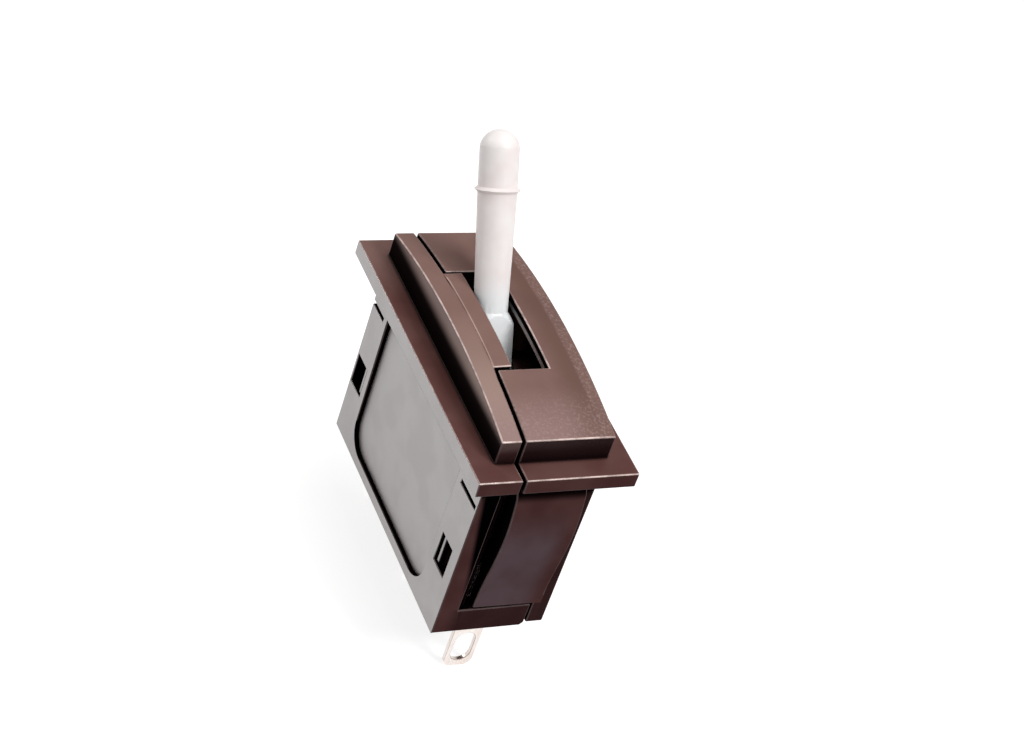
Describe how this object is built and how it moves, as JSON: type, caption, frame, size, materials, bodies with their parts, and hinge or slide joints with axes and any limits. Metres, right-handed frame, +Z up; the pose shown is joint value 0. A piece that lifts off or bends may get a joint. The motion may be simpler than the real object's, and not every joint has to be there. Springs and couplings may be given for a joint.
{
  "type": "passing contact switch",
  "caption": "Panel-mounted lever switch with an arched bezel and a snap-in case; the lever plucks a spring blade, so contacts meet for a moment as it passes the middle.",
  "frame": {"origin": "middle of the flange's underside, the face that lies on the panel", "axes": "+Z up out of the panel, +Y along the flange towards the end that the lever leans to at rest, +X across the flange towards the plain side"},
  "size_m": [0.0176, 0.037, 0.052],
  "materials": {
    "case": "moulded dark brown plastic, satin to gloss, faintly speckled",
    "lever": "moulded ivory plastic, slightly translucent",
    "contact_strip": "rolled pale copper alloy strip",
    "contact_rivet": "silver-coloured contact metal"
  },
  "bodies": {
    "case": {"case_cover": "case", "case_body": "case", "common_blade": "contact_strip", "front_contact": "contact_strip", "rear_contact": "contact_strip", "common_rivet": "contact_rivet", "front_rivet": "contact_rivet", "rear_rivet": "contact_rivet"},
    "lever": {"lever": "lever"}
  },
  "joints": [
    {"name": "lever_swing", "type": "hinge", "parent": "case", "child": "lever", "pos_m": [0, 0, -0.0012], "axis": [1, 0, 0], "range_deg": [0, 60], "deforming": ["common_blade"]}
  ]
}
